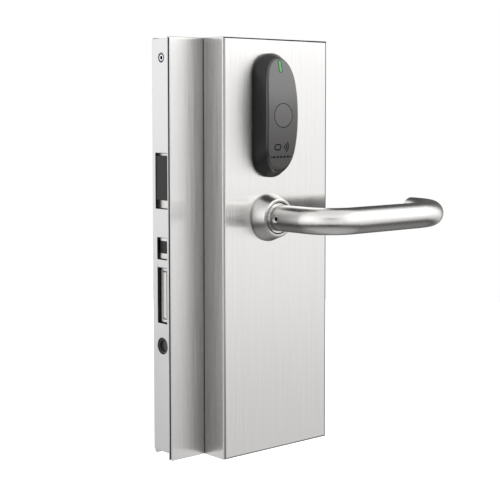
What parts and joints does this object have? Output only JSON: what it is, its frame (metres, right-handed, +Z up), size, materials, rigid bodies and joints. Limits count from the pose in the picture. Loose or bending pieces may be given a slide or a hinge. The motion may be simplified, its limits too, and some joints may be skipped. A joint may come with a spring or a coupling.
{
  "type": "electronic glass door lock with card reader",
  "caption": "Brushed steel glass-door lock set: tall box with an oval card reader, U-form levers on both sides and a mortise lock with latch and deadbolt behind it.",
  "frame": {"origin": "lever axis, in the middle of the glass pane's thickness", "axes": "+X from the forend to the hinge side, +Y through the glass to the inside, +Z up"},
  "size_m": [0.2215, 0.22, 0.316],
  "materials": {
    "brushed_steel": "brushed, grain along the height",
    "satin_steel": "satin polished",
    "forend_steel": "fine satin",
    "bolt_steel": "machined",
    "plain_steel": "zinc plated",
    "screw_steel": "dark plated",
    "zinc": "die cast, tumbled",
    "clamp_alloy": "sawn and tumbled",
    "black_rubber": "matte",
    "black_plastic": "matte",
    "reader_plastic": "fine moulded texture",
    "button_plastic": "fine moulded texture",
    "green_light": "clear, lit from behind",
    "sensor_plastic": "matte",
    "white_nylon": "turned nylon",
    "circuit_board": "solder mask",
    "copper": "enamelled wire",
    "battery_jacket": "printed jacket without lettering"
  },
  "bodies": {
    "lock_body": {"wing_plate": "brushed_steel", "front_cover": "brushed_steel", "end_caps": "brushed_steel", "rear_cover": "brushed_steel", "rear_plate": "brushed_steel", "outside_rose": "satin_steel", "inside_rose": "satin_steel", "forend": "forend_steel", "chassis_plate": "plain_steel", "cover_brackets": "plain_steel", "forend_brackets": "plain_steel", "lock_case": "plain_steel", "case_cover": "plain_steel", "clutch_bearing": "plain_steel", "cover_screws": "screw_steel", "forend_screw": "screw_steel", "case_screws": "screw_steel", "clamp_screws": "screw_steel", "lever_return_spring": "screw_steel", "latch_spring": "screw_steel", "clamp_blocks_front": "clamp_alloy", "clamp_blocks_rear": "clamp_alloy", "plate_gasket": "black_rubber", "cover_seal": "black_rubber", "glass_pads_front": "black_rubber", "glass_pads_rear": "black_rubber", "reader_base": "black_plastic", "battery_holder": "black_plastic", "board_components": "black_plastic", "lever_bushes": "black_plastic", "tact_switch": "black_plastic", "clutch_solenoid": "black_plastic", "reader_housing": "reader_plastic", "light_pipe": "green_light", "door_sensor": "sensor_plastic", "glass_bushes": "white_nylon", "reader_board": "circuit_board", "control_board": "circuit_board", "antenna_coil": "copper", "batteries": "battery_jacket"},
    "outside_lever": {"outside_lever": "satin_steel", "outside_grub_screw": "screw_steel", "outside_spindle": "screw_steel"},
    "clutch_dog": {"clutch_dog": "zinc"},
    "clutch_fork": {"clutch_fork": "zinc"},
    "inside_lever": {"inside_lever": "satin_steel", "inside_grub_screw": "screw_steel", "main_spindle": "screw_steel", "clutch_hub": "zinc", "follower": "zinc"},
    "latch_retractor": {"latch_retractor": "zinc"},
    "latch": {"latch_bolt": "bolt_steel", "latch_insert": "black_plastic"},
    "aux_latch": {"aux_latch": "bolt_steel", "aux_insert": "black_plastic"},
    "deadbolt": {"deadbolt": "bolt_steel"},
    "thumbturn": {"thumbturn": "satin_steel", "deadbolt_cam": "zinc"},
    "wake_button": {"wake_button": "button_plastic"}
  },
  "joints": [
    {"name": "outside_lever_turn", "type": "hinge", "parent": "lock_body", "child": "outside_lever", "pos_m": [0, -0.0395, 0], "axis": [0, 1, 0], "range_deg": [0, 45], "stiffness_Nm_per_rad": 1.6, "springref_deg": -20.05},
    {"name": "inside_lever_turn", "type": "hinge", "parent": "lock_body", "child": "inside_lever", "pos_m": [0, 0.0285, 0], "axis": [0, 1, 0], "range_deg": [0, 45], "stiffness_Nm_per_rad": 1.6, "springref_deg": -20.05},
    {"name": "retractor_slide", "type": "slide", "parent": "lock_body", "child": "latch_retractor", "axis": [1, 0, 0], "range_m": [0, 0.0158]},
    {"name": "latch_slide", "type": "slide", "parent": "lock_body", "child": "latch", "axis": [1, 0, 0], "range_m": [-0.012, 0]},
    {"name": "aux_latch_slide", "type": "slide", "parent": "lock_body", "child": "aux_latch", "axis": [1, 0, 0], "range_m": [-0.008, 0]},
    {"name": "deadbolt_slide", "type": "slide", "parent": "lock_body", "child": "deadbolt", "axis": [1, 0, 0], "range_m": [-0.02, 0]},
    {"name": "thumbturn_turn", "type": "hinge", "parent": "lock_body", "child": "thumbturn", "pos_m": [0, 0.0285, -0.072], "axis": [0, 1, 0], "range_deg": [-90.1, 0]},
    {"name": "clutch_dog_slide", "type": "slide", "parent": "outside_lever", "child": "clutch_dog", "axis": [0, 1, 0], "range_m": [0, 0.0012]},
    {"name": "clutch_fork_slide", "type": "slide", "parent": "lock_body", "child": "clutch_fork", "axis": [0, 1, 0], "range_m": [0, 0.0012]},
    {"name": "wake_button_press", "type": "slide", "parent": "lock_body", "child": "wake_button", "axis": [0, 1, 0], "range_m": [0, 0.0008], "stiffness_N_per_m": 900, "springref_m": -0.0006}
  ],
  "couplings": [
    {"joint": "retractor_slide", "follows": "inside_lever_turn", "m_per_rad": 0.02},
    {"joint": "thumbturn_turn", "follows": "deadbolt_slide", "rad_per_m": 78.54},
    {"joint": "clutch_fork_slide", "follows": "clutch_dog_slide", "ratio": 1}
  ]
}
